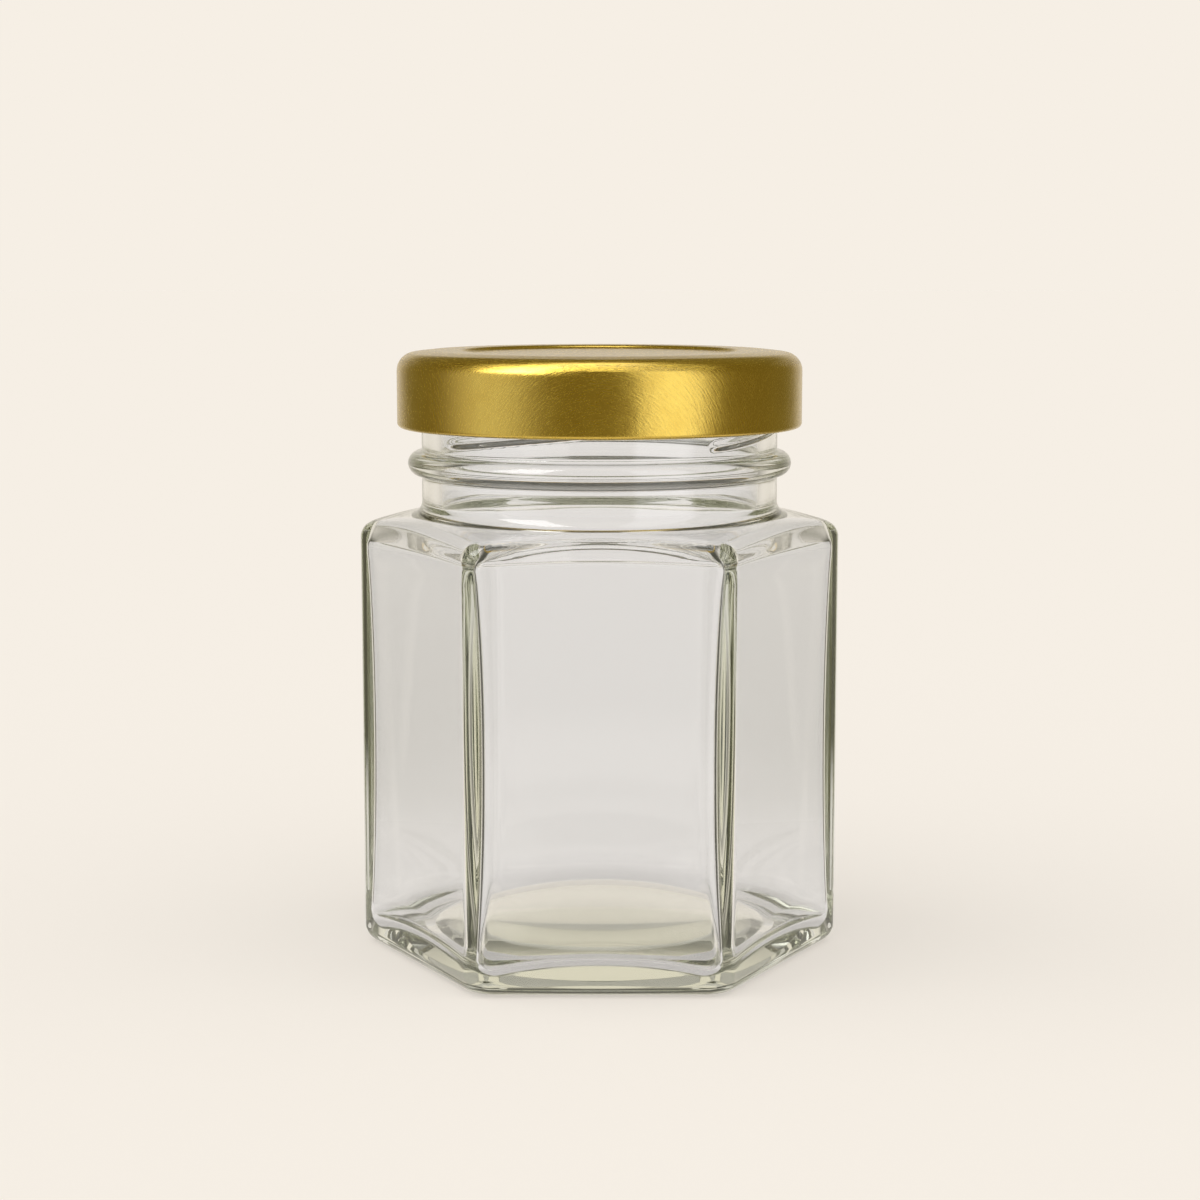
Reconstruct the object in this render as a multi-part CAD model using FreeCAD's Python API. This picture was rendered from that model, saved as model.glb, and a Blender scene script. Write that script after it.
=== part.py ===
"""Hexagonal preserving jar of clear glass with a pressed tinplate twist-off lid.

Three pieces, each written as its own STEP: the glass jar, the lid that rests on
its lip, and the sealing compound ring that lies in the lid's channel.

Millimetres, +Z up. The origin is on the jar's axis, on the surface it stands on.
Two of the six flat walls face -Y and +Y, and two corners lie on the X axis.
"""
import FreeCAD
import Part

import math
import os

from FreeCAD import Vector

# ---------------------------------------------------------------- glass body
ACROSS_FLATS = 51.1          # outside, wall to opposite wall
CORNER_RADIUS = 3.0          # vertical corners, outside
SHOULDER_Z = 53.25           # where the shoulder would meet the neck
SHOULDER_SLOPE = 0.21        # fall of the shoulder for each mm outwards
SHOULDER_ROUND = 1.9         # rounding from shoulder to walls
HEEL_ROUND = 1.4             # rounding from walls to bearing ring

# ----------------------------------------------------------------- glass wall
WALL = 2.7                   # glass thickness at the middle of a flat wall
INNER_CORNER_RADIUS = 2.4    # vertical corners of the cavity
FLOOR_Z = 7.0                # middle of the inside floor
FLOOR_RADIUS = 70.0          # spherical crown of the inside floor
POLE_FLAT = 1.5              # radius of the flat spot in the middle of each crown
INNER_HEEL_ROUND = 1.5       # rounding from floor to cavity wall
INNER_TOP_ROUND = 1.5        # rounding under the shoulder
SHOULDER_WALL = 1.8          # glass thickness of the shoulder
THROAT_ROUND = 2.2           # rounding from the shoulder's underside to the mouth

# -------------------------------------------------------------- glass underside
PUNT_RIM_RADIUS = 19.0       # inside edge of the bearing ring
PUNT_STEP = 0.7              # rise of the sloping rim of the hollow
PUNT_STEP_WIDTH = 1.6        # its width
PUNT_RISE = 2.0              # height of the hollow at its middle

# --------------------------------------------------------------- neck and finish
NECK_RADIUS = 21.48          # outside of the neck
NECK_FILLET = 1.7            # neck to shoulder
MOUTH_RADIUS = 19.2          # inside of the neck
BEAD_Z = 59.5                # middle of the transfer bead
BEAD_REACH = 1.67            # how far the bead stands out
BEAD_RADIUS = 1.4            # roundness of the bead
BEAD_FILLET = 0.4            # hollow where the bead meets the neck
LIP_Z = 71.95                # top of the sealing lip
LIP_OUTER_ROUND = 0.9        # outside rounding of the lip
LIP_INNER_ROUND = 0.65       # inside rounding of the lip

# ---------------------------------------------------------------------- lid
LID_RADIUS = 24.4            # outside of the skirt
LID_TOP_Z = 73.0             # top of the outer ring
LID_HEIGHT = 9.2             # from the rolled edge to the top of the ring
SHEET = 0.26                 # tinplate with its lacquer
LID_CORNER_ROUND = 2.6       # outside radius from ring to skirt
RING_INNER_RADIUS = 16.8     # inside edge of the outer ring, on top
PANEL_DROP = 0.65            # the centre panel lies this much lower
CURL_RADIUS = 0.9            # outside radius of the rolled bottom edge
CURL_SWEEP = 290.0           # degrees that the edge is rolled round
LUG_COUNT = 4                # lugs, evenly spaced
LUG_SPAN = 26.0              # degrees of arc of each lug
LUG_REACH = 21.95            # radius that a lug's inner edge comes in to
LUG_THICKNESS = 0.7          # sheet folded flat on itself
LUG_FIRST = 45.0             # degrees from +X of the first lug's middle

# ---------------------------------------------------------------- lid seal
SEAL_INNER_RADIUS = 19.25    # inside of the ring of sealing compound
SEAL_OUTER_RADIUS = 21.8     # outside of the ring of sealing compound

AXIS = Vector(0, 0, 1)
ORIGIN = Vector(0, 0, 0)
SIDES = 6
HALF_SIDE = 180 / SIDES      # degrees from a corner to the middle of a flat wall
NEAR = 0.01                  # slack when an edge is looked up by its place


def point(radius, height):
    """A point of a turned profile, in the XZ plane."""
    return Vector(radius, 0, height)


def on_circle(centre, radius, degrees):
    """The profile point at an angle on a circle, 0 outwards and 90 upwards."""
    turn = math.radians(degrees)
    return centre + Vector(radius * math.cos(turn), 0, radius * math.sin(turn))


def arc(centre, radius, start, end):
    """A profile arc about a centre from one angle to another, in degrees."""
    middle = on_circle(centre, radius, (start + end) / 2)
    return Part.Arc(on_circle(centre, radius, start), middle, on_circle(centre, radius, end)).toShape()


def in_plan(degrees):
    """The level direction at an angle from +X."""
    turn = math.radians(degrees)
    return Vector(math.cos(turn), math.sin(turn), 0)


def turned(edges):
    """The solid that a closed profile sweeps in a full turn about the axis."""
    return Part.Face(Part.Wire(edges)).revolve(ORIGIN, AXIS, 360)


def polyline(points):
    """Straight profile edges through points."""
    return [Part.LineSegment(a, b).toShape() for a, b in zip(points, points[1:])]


def rounded_hexagon(apothem, corner_radius, height):
    """A hexagonal wire with rounded corners, flat to -Y and +Y."""
    to_arc = (apothem - corner_radius) / math.cos(math.radians(HALF_SIDE))
    corners = []
    for side in range(SIDES):
        middle = side * 2 * HALF_SIDE
        centre = in_plan(middle) * to_arc + AXIS * height
        turns = (middle - HALF_SIDE, middle, middle + HALF_SIDE)
        corners.append([centre + in_plan(turn) * corner_radius for turn in turns])
    edges = []
    for here, following in zip(corners, corners[1:] + corners[:1]):
        edges.append(Part.Arc(*here).toShape())
        edges.append(Part.LineSegment(here[2], following[0]).toShape())
    return Part.Wire(edges)


def shoulder_height(radius):
    """Height of the sloping shoulder at a distance from the axis."""
    return SHOULDER_Z - SHOULDER_SLOPE * (radius - NECK_RADIUS - NECK_FILLET)


def prism(apothem, corner_radius, bottom, top):
    """An upright solid on the rounded hexagon."""
    face = Part.Face(rounded_hexagon(apothem, corner_radius, bottom))
    return face.extrude(Vector(0, 0, top - bottom))


def edges_where(solid, test):
    """The edges of a solid whose middle point passes a test."""
    chosen = []
    for edge in solid.Edges:
        middle = edge.valueAt((edge.FirstParameter + edge.LastParameter) / 2)
        if test(middle):
            chosen.append(edge)
    return chosen


def bead_edges():
    """The transfer bead, from its lower hollow to its upper one."""
    centre = point(NECK_RADIUS + BEAD_REACH - BEAD_RADIUS, BEAD_Z)
    inwards = BEAD_FILLET - (BEAD_REACH - BEAD_RADIUS)
    rise = math.sqrt((BEAD_RADIUS + BEAD_FILLET) ** 2 - inwards ** 2)
    touch = math.degrees(math.atan2(rise, inwards))
    lower = point(NECK_RADIUS + BEAD_FILLET, BEAD_Z - rise)
    upper = point(NECK_RADIUS + BEAD_FILLET, BEAD_Z + rise)
    return [
        arc(lower, BEAD_FILLET, 180, 180 - touch),
        arc(centre, BEAD_RADIUS, -touch, touch),
        arc(upper, BEAD_FILLET, 180 + touch, 180),
    ]


def outside_profile():
    """The turned outside: shoulder, neck, transfer bead and lip."""
    reach = ACROSS_FLATS
    steepness = math.hypot(1, SHOULDER_SLOPE)
    fillet_radius = NECK_RADIUS + NECK_FILLET
    fillet = point(fillet_radius, shoulder_height(fillet_radius) + NECK_FILLET * steepness)
    lean = 180 + math.degrees(math.atan2(1, SHOULDER_SLOPE))
    foot = on_circle(fillet, NECK_FILLET, lean)
    bead = bead_edges()
    bead_bottom = bead[0].firstVertex(True).Point
    bead_top = bead[-1].lastVertex(True).Point
    lip = point(NECK_RADIUS - LIP_OUTER_ROUND, LIP_Z - LIP_OUTER_ROUND)
    edges = polyline([point(0, 0), point(reach, 0), point(reach, shoulder_height(reach)), foot])
    edges.append(arc(fillet, NECK_FILLET, lean, 180))
    edges += polyline([on_circle(fillet, NECK_FILLET, 180), bead_bottom])
    edges += bead
    edges += polyline([bead_top, on_circle(lip, LIP_OUTER_ROUND, 0)])
    edges.append(arc(lip, LIP_OUTER_ROUND, 0, 90))
    edges += polyline([on_circle(lip, LIP_OUTER_ROUND, 90), point(0, LIP_Z), point(0, 0)])
    return edges


def outside_blank():
    """The jar as if it were solid glass: hexagonal body and round finish."""
    blank = prism(ACROSS_FLATS / 2, CORNER_RADIUS, 0, LIP_Z)
    jar = blank.common(turned(outside_profile()))
    wall = ACROSS_FLATS / 2
    rim = shoulder_height(wall / math.cos(math.radians(HALF_SIDE)))
    top_edges = edges_where(jar, lambda p: rim < p.z < SHOULDER_Z and math.hypot(p.x, p.y) > wall - NEAR)
    jar = jar.makeFillet(SHOULDER_ROUND, top_edges)
    return jar.makeFillet(HEEL_ROUND, edges_where(jar, lambda p: p.z < NEAR))


def crown_arc(flat_height, crown_radius, reach):
    """A shallow crown about the axis, from the edge of its flat spot out to a radius."""
    middle = point(0, flat_height - math.sqrt(crown_radius ** 2 - POLE_FLAT ** 2))
    start = 90 - math.degrees(math.asin(POLE_FLAT / crown_radius))
    end = 90 - math.degrees(math.asin(reach / crown_radius))
    return arc(middle, crown_radius, start, end)


def inside_profile():
    """The turned inside: crowned floor, underside of the shoulder, and mouth."""
    reach = ACROSS_FLATS
    crown = crown_arc(FLOOR_Z, FLOOR_RADIUS, reach)
    steepness = math.hypot(1, SHOULDER_SLOPE)
    drop = SHOULDER_WALL * steepness
    round_radius = MOUTH_RADIUS + THROAT_ROUND
    throat = point(round_radius, shoulder_height(round_radius) - drop + THROAT_ROUND * steepness)
    lean = 180 + math.degrees(math.atan2(1, SHOULDER_SLOPE))
    lip = point(MOUTH_RADIUS + LIP_INNER_ROUND, LIP_Z - LIP_INNER_ROUND)
    above = LIP_Z + LIP_OUTER_ROUND
    edges = polyline([point(0, FLOOR_Z), point(POLE_FLAT, FLOOR_Z)])
    edges.append(crown)
    wall_top = point(reach, shoulder_height(reach) - drop)
    edges += polyline([crown.lastVertex(True).Point, wall_top, on_circle(throat, THROAT_ROUND, lean)])
    edges.append(arc(throat, THROAT_ROUND, lean, 180))
    edges += polyline([on_circle(throat, THROAT_ROUND, 180), on_circle(lip, LIP_INNER_ROUND, 180)])
    edges.append(arc(lip, LIP_INNER_ROUND, 180, 90))
    edges += polyline([on_circle(lip, LIP_INNER_ROUND, 90), point(lip.x, above), point(0, above)])
    edges += polyline([point(0, above), point(0, FLOOR_Z)])
    return edges


def cavity():
    """The inside of the jar: a hexagonal cell under a round mouth."""
    wall = ACROSS_FLATS / 2 - WALL
    column = prism(wall, INNER_CORNER_RADIUS, 0, LIP_Z + LIP_OUTER_ROUND)
    inside = column.common(turned(inside_profile()))
    ceiling = shoulder_height(ACROSS_FLATS) - SHOULDER_WALL
    beyond = wall - INNER_HEEL_ROUND / 2
    rims = edges_where(inside, lambda p: math.hypot(p.x, p.y) > beyond)
    inside = inside.makeFillet(INNER_HEEL_ROUND, [e for e in rims if e.CenterOfMass.z < FLOOR_Z])
    rims = edges_where(inside, lambda p: math.hypot(p.x, p.y) > beyond)
    return inside.makeFillet(INNER_TOP_ROUND, [e for e in rims if e.CenterOfMass.z > ceiling])


def punt():
    """The round hollow pressed up into the underside, inside the bearing ring."""
    step_radius = PUNT_RIM_RADIUS - PUNT_STEP_WIDTH
    rise = PUNT_RISE - PUNT_STEP
    dome = crown_arc(PUNT_RISE, (step_radius ** 2 + rise ** 2) / (2 * rise), step_radius)
    below = -HEEL_ROUND
    edges = polyline([point(0, PUNT_RISE), point(POLE_FLAT, PUNT_RISE)])
    edges.append(dome)
    edges += polyline([dome.lastVertex(True).Point, point(PUNT_RIM_RADIUS, 0), point(PUNT_RIM_RADIUS, below)])
    edges += polyline([point(PUNT_RIM_RADIUS, below), point(0, below), point(0, PUNT_RISE)])
    return turned(edges)


def glass_jar():
    """The jar: one piece of clear glass."""
    return outside_blank().cut(cavity()).cut(punt())


def lid_profile():
    """The pressed sheet: panel, step, outer ring, skirt and rolled edge, in one strip."""
    skirt_inside = LID_RADIUS - SHEET
    corner = point(LID_RADIUS - LID_CORNER_ROUND, LID_TOP_Z - LID_CORNER_ROUND)
    curl = point(LID_RADIUS - CURL_RADIUS, LID_TOP_Z - LID_HEIGHT + CURL_RADIUS)
    panel_top = LID_TOP_Z - PANEL_DROP
    slope_foot = RING_INNER_RADIUS - PANEL_DROP
    # From the middle of the panel outwards along the top, down the skirt and round the curl.
    edges = polyline([point(0, panel_top), point(slope_foot, panel_top), point(RING_INNER_RADIUS, LID_TOP_Z),
                      on_circle(corner, LID_CORNER_ROUND, 90)])
    edges.append(arc(corner, LID_CORNER_ROUND, 90, 0))
    edges += polyline([on_circle(corner, LID_CORNER_ROUND, 0), on_circle(curl, CURL_RADIUS, 0)])
    edges.append(arc(curl, CURL_RADIUS, 0, -CURL_SWEEP))
    # Back along the inside of the sheet.
    inner = CURL_RADIUS - SHEET
    edges += polyline([on_circle(curl, CURL_RADIUS, -CURL_SWEEP), on_circle(curl, inner, -CURL_SWEEP)])
    edges.append(arc(curl, inner, -CURL_SWEEP, 0))
    edges += polyline([on_circle(curl, inner, 0), point(skirt_inside, corner.z)])
    edges.append(arc(corner, LID_CORNER_ROUND - SHEET, 0, 90))
    lean = SHEET * math.tan(math.radians(45 / 2))
    edges += polyline([
        point(corner.x, LID_TOP_Z - SHEET),
        point(RING_INNER_RADIUS + lean, LID_TOP_Z - SHEET),
        point(slope_foot + lean, panel_top - SHEET),
        point(0, panel_top - SHEET),
        point(0, panel_top),
    ])
    return edges


def lug(middle):
    """One lug: a stretch of the rolled edge folded in under the glass thread."""
    low = LID_TOP_Z - LID_HEIGHT + LUG_THICKNESS
    face = Part.Face(Part.Wire(polyline([
        point(LUG_REACH, low),
        point(LID_RADIUS - CURL_RADIUS, low),
        point(LID_RADIUS - CURL_RADIUS, low + LUG_THICKNESS),
        point(LUG_REACH, low + LUG_THICKNESS),
        point(LUG_REACH, low),
    ])))
    face.rotate(ORIGIN, AXIS, middle - LUG_SPAN / 2)
    return face.revolve(ORIGIN, AXIS, LUG_SPAN)


def lid():
    """The twist-off lid, pressed from one sheet, with its lugs."""
    shell = turned(lid_profile())
    lugs = [lug(LUG_FIRST + turn * 360 / LUG_COUNT) for turn in range(LUG_COUNT)]
    return shell.fuse(lugs)


def lid_seal():
    """The ring of sealing compound, between the lid's channel and the lip."""
    return turned(polyline([
        point(SEAL_INNER_RADIUS, LIP_Z),
        point(SEAL_OUTER_RADIUS, LIP_Z),
        point(SEAL_OUTER_RADIUS, LID_TOP_Z - SHEET),
        point(SEAL_INNER_RADIUS, LID_TOP_Z - SHEET),
        point(SEAL_INNER_RADIUS, LIP_Z),
    ]))


def main():
    os.makedirs("parts", exist_ok=True)
    for make in (glass_jar, lid, lid_seal):
        shape = make()
        shape.exportStep(os.path.join("parts", make.__name__ + ".step"))
        print(make.__name__, "volume", round(shape.Volume, 1), "solids", len(shape.Solids))


main()
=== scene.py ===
"""Dresses the hexagonal jar: clear glass, a satin gold twist-off lid, and a studio."""

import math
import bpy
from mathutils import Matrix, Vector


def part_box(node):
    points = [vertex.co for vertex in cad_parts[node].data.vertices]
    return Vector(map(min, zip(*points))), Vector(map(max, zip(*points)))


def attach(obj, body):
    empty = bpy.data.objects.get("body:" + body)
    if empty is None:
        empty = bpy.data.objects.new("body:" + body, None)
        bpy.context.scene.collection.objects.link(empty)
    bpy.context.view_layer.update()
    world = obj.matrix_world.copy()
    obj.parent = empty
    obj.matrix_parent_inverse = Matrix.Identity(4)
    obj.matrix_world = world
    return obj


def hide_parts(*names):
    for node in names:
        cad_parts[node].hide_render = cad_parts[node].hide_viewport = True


bl_info = {
    "name": "Hexagonal Preserving Jar",
    "version": (1, 0, 0),
    "blender": (4, 5, 0),
    "location": "View3D > Sidebar > Jar",
    "description": "Makes the glass jar and its gold lid round the packed frame, and lights them",
    "category": "Object",
}

import bpy
import numpy as np
from bpy.props import FloatProperty, FloatVectorProperty, IntProperty, PointerProperty
from mathutils import Vector

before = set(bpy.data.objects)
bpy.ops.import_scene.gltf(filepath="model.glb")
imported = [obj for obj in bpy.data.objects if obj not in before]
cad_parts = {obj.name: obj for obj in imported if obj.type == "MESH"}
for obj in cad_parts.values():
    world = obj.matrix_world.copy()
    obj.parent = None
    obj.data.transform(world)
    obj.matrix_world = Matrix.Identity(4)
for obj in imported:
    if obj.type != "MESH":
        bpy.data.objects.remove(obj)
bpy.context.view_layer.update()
JAR_LOW, JAR_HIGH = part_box("glass_jar")
LID_LOW, LID_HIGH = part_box("lid")

MM = 0.001
SIDES = 6
HALF_SIDE = math.pi / SIDES


# ------------------------------------------------------------------ settings
def length(name, description, default):
    """A length setting in metres."""
    return FloatProperty(name=name, description=description, default=default, unit="LENGTH", precision=5)


def number(name, description, default):
    """A plain setting."""
    return FloatProperty(name=name, description=description, default=default)


def colour(name, description, default):
    """A colour setting, as linear red, green and blue."""
    return FloatVectorProperty(name=name, description=description, default=default, subtype="COLOR", size=3,
                               min=0.0, max=1.0)


class JarSizes(bpy.types.PropertyGroup):
    """Sizes of the glass."""

    apothem: length("Half across flats", "Axis to the outside of a flat wall", JAR_HIGH.y)
    corner_radius: length("Corner radius", "Outside radius of the upright corners", 3.0 * MM)
    corner_fade: number("Corner fade", "How fast the upright corners sharpen, or soften below nought", -0.6)
    shoulder_height: length("Shoulder height", "Where the shoulder reaches the neck fillet", 53.25 * MM)
    shoulder_slope: number("Shoulder slope", "Fall of the shoulder for each unit outwards", 0.21)
    shoulder_round: length("Shoulder rounding", "Radius from the shoulder to the walls", 1.9 * MM)
    wall_drop: length("Wall drop", "From the shoulder height down to where the flat walls end", 2.77 * MM)
    cell_drop: length("Cell drop", "The same for the cell's flat walls", 4.3 * MM)
    heel_round: length("Heel rounding", "Radius from the walls to the bearing ring", 2.0 * MM)
    wall: length("Wall", "Glass thickness in the middle of a flat wall", 2.0 * MM)
    waist_extra: length("Waist extra", "Extra thickness of the walls at half height", 1.05 * MM)
    inner_corner: length("Inner corner radius", "Radius of the cell's upright corners at both ends", 1.0 * MM)
    waist_corner: length("Waist corner radius", "The same at half height", 1.5 * MM)
    shoulder_wall: length("Shoulder wall", "Glass thickness of the shoulder", 1.65 * MM)
    inner_top_round: length("Inner top rounding", "Radius under the shoulder, inside", 2.5 * MM)
    inner_heel_round: length("Inner heel rounding", "Radius from the floor to the cell's walls", 2.2 * MM)
    floor_height: length("Floor height", "Middle of the inside floor", 7.3 * MM)
    floor_crown: length("Floor crown", "Radius of the floor's spherical crown", 55.0 * MM)
    punt_radius: length("Punt radius", "Inside edge of the bearing ring", 19.0 * MM)
    punt_step: length("Punt step", "Rise of the punt's sloping rim", 0.7 * MM)
    punt_step_width: length("Punt step width", "Width of the punt's sloping rim", 1.6 * MM)
    punt_rise: length("Punt rise", "Height of the punt in the middle", 2.0 * MM)
    neck_radius: length("Neck radius", "Outside of the neck and finish", 21.48 * MM)
    neck_fillet: length("Neck fillet", "Radius between neck and shoulder", 1.7 * MM)
    throat_round: length("Throat rounding", "Inside radius between shoulder and mouth", 1.3 * MM)
    mouth_radius: length("Mouth radius", "Inside of the neck", 19.2 * MM)
    bead_height: length("Bead height", "Middle of the transfer bead", 59.5 * MM)
    bead_reach: length("Bead reach", "How far the transfer bead stands out", 1.67 * MM)
    bead_radius: length("Bead radius", "Roundness of the transfer bead", 1.4 * MM)
    bead_fillet: length("Bead fillet", "Hollow where the bead meets the neck", 0.4 * MM)
    lip_outer_round: length("Lip outer rounding", "Outside radius of the lip", 0.9 * MM)
    lip_inner_round: length("Lip inner rounding", "Inside radius of the lip", 0.65 * MM)


class ThreadSizes(bpy.types.PropertyGroup):
    """Sizes of the glass thread, which has several starts."""

    starts: IntProperty(name="Starts", description="Number of thread stretches", default=4)
    low_height: length("Low end height", "Height of the lower end of each stretch", 62.4 * MM)
    low_angle: FloatProperty(name="Low end angle", description="Direction of the first lower end, from +X",
                             default=math.radians(-145), subtype="ANGLE")
    span: FloatProperty(name="Span", description="Turn of each stretch", default=math.radians(92),
                        subtype="ANGLE")
    rise: length("Rise", "Rise of each stretch from end to end", 3.8 * MM)
    reach: length("Reach", "How far the thread stands out", 0.45 * MM)
    half_width: length("Half width", "Half the height of the thread's section", 0.65 * MM)
    run_out: FloatProperty(name="Run-out", description="Turn over which each end fades into the neck",
                           default=math.radians(9), subtype="ANGLE")


class LidSizes(bpy.types.PropertyGroup):
    """Sizes of the pressed lid."""

    steps: IntProperty(name="Steps", description="Columns of the turned sheet", default=288)
    sheet: length("Sheet", "Tinplate thickness", 0.26 * MM)
    corner_round: length("Corner rounding", "Outside radius from ring to skirt", 2.2 * MM)
    ring_fall: length("Ring fall", "How much the outer ring falls off towards the skirt", 0.45 * MM)
    ring_crest: length("Ring crest", "Radius where the outer ring starts to fall off", 20.3 * MM)
    ring_inner: length("Ring inner radius", "Inside edge of the outer ring", 16.8 * MM)
    panel_drop: length("Panel drop", "How much lower the centre panel lies", 0.4 * MM)
    curl_radius: length("Curl radius", "Outside radius of the rolled edge", 0.6 * MM)
    curl_sweep: FloatProperty(name="Curl sweep", description="How far the edge is rolled round",
                              default=math.radians(290), subtype="ANGLE")
    lugs: IntProperty(name="Lugs", description="Number of lugs", default=4)
    lug_first: FloatProperty(name="First lug", description="Direction of the first lug, from +X",
                             default=math.radians(45), subtype="ANGLE")
    lug_span: FloatProperty(name="Lug span", description="Turn of each lug", default=math.radians(28),
                            subtype="ANGLE")
    lug_reach: length("Lug reach", "Radius that a lug's inner edge comes in to", 21.95 * MM)
    lug_thickness: length("Lug thickness", "Sheet folded flat on itself", 0.7 * MM)


class JarFinish(bpy.types.PropertyGroup):
    """Colours of the glass and the lid."""

    glass_ior: number("Refractive index", "Refractive index of soda-lime glass", 1.52)
    glass_tint: colour("Glass tint", "Colour that thick glass takes", (0.81, 0.82, 0.70))
    glass_density: number("Glass density", "How strongly thick glass is tinted, for each metre", 28.0)
    gold: colour("Gold", "Colour of the gold lacquer", (0.80, 0.565, 0.10))
    gold_roughness: number("Gold roughness", "Roughness of the satin lacquer", 0.25)
    brush_depth: length("Brush depth", "Depth of the brush marks in the lid", 0.032 * MM)
    lining: colour("Lining", "Colour of the lid's inside", (0.80, 0.79, 0.74))
    compound: colour("Compound", "Colour of the sealing compound", (0.72, 0.70, 0.63))


class StudioSettings(bpy.types.PropertyGroup):
    """The studio."""

    backdrop: colour("Backdrop", "Colour of the floor and the backdrop", (0.922, 0.863, 0.783))
    beyond: colour("Beyond glass", "The same colour, seen through clear glass", (0.865, 0.832, 0.815))
    room: colour("Room", "Colour of the unlit room, as reflections show it", (0.195, 0.165, 0.055))
    inner_room: colour("Room in glass", "The same, as light in the glass shows it", (0.075, 0.074, 0.060))
    left_share: number("Left light", "Share of the floor's light that comes from the left", 0.17)
    right_share: number("Right light", "Share of the floor's light that comes from the right", 0.08)
    fill: number("Shadow fill", "Share of the floor's shadow that light through the glass fills", 0.5)
    fill_beyond: number("Shadow fill beyond glass", "The same where the floor is seen through the glass", 0.5)
    frontal: number("Frontal", "How much brighter the dome is in front than behind, by half", 0.5)


# ------------------------------------------------------------- plane geometry
def hexagon_radius(angles, apothem, corner):
    """Distance from the axis to a hexagon with rounded corners, flat to -Y and +Y."""
    turn = np.abs((angles + HALF_SIDE) % (2 * HALF_SIDE) - HALF_SIDE)
    to_centre = (apothem - corner) / math.cos(HALF_SIDE)
    flat = apothem / np.cos(HALF_SIDE - turn)
    inside = np.clip(corner ** 2 - (to_centre * np.sin(turn)) ** 2, 0, None)
    rounded = to_centre * np.cos(turn) + np.sqrt(inside)
    touch = np.arctan2(corner * math.sin(HALF_SIDE), to_centre + corner * math.cos(HALF_SIDE))
    return np.where(turn < touch, rounded, flat)


def arc_points(centre, radius, start, end, steps):
    """Profile points on an arc, as (distance from axis, height), angles in degrees, 90 upwards."""
    turns = np.radians(np.linspace(start, end, steps + 1))
    return [(centre[0] + radius * math.cos(t), centre[1] + radius * math.sin(t)) for t in turns]


def rounded_profile(points, radii, steps):
    """A polyline whose inner points are rounded, each by its own radius."""
    result = [points[0]]
    for before, here, after, radius in zip(points, points[1:], points[2:], radii):
        here, before, after = (np.array(p, float) for p in (here, before, after))
        towards = (before - here) / np.linalg.norm(before - here)
        onwards = (after - here) / np.linalg.norm(after - here)
        half = math.acos(np.clip(np.dot(towards, onwards), -1, 1)) / 2
        middle = (towards + onwards) / np.linalg.norm(towards + onwards)
        centre = here + middle * radius / math.sin(half)
        first = here + towards * radius / math.tan(half) - centre
        sweep = math.pi - 2 * half
        side = 1.0 if towards[0] * onwards[1] - towards[1] * onwards[0] < 0 else -1.0
        for step in range(steps + 1):
            turn = side * sweep * step / steps
            cosine, sine = math.cos(turn), math.sin(turn)
            result.append((centre[0] + first[0] * cosine - first[1] * sine,
                           centre[1] + first[0] * sine + first[1] * cosine))
    result.append(points[-1])
    return [(float(r), float(h)) for r, h in result]


# ----------------------------------------------------------------- the glass
CORNER_WINDOW = math.radians(7.5)
CORNER_STEPS = 36
FLAT_STEPS = 18

# Rings across each part of the glass, up the outside and back down the inside.
BEARING_RINGS = 5
HEEL_RINGS = 11
WALL_RINGS = 26
SHOULDER_ROUND_RINGS = 15
SHOULDER_RINGS = 11
NECK_RINGS = 5
FINISH_RINGS = 52
MOUTH_RINGS = 14
CEILING_RINGS = 7
CEILING_ROUND_RINGS = 13
CELL_RINGS = 30
INNER_HEEL_RINGS = 15
FLOOR_RINGS = 17

SHARPEST = 0.2 * MM
SETTLING_ROUNDS = 12
PUNT_ROUNDS = [0.6 * MM, 0.5 * MM]
# Below one, these make the thread's section and the waist's bow fuller.
THREAD_FULLNESS = 0.8
WAIST_FULLNESS = 0.8
# The inset, in heel roundings, at which the floor's tilt is taken.
TILT_INSET = 1.3


def jar_angles():
    """Directions of the glass mesh's columns, close together round the six corners."""
    across = np.linspace(-CORNER_WINDOW, CORNER_WINDOW, CORNER_STEPS + 1)[:-1]
    between = np.linspace(CORNER_WINDOW, 2 * HALF_SIDE - CORNER_WINDOW, FLAT_STEPS + 1)[:-1]
    sector = np.concatenate([across, between])
    return np.concatenate([sector + side * 2 * HALF_SIDE for side in range(SIDES)])


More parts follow.
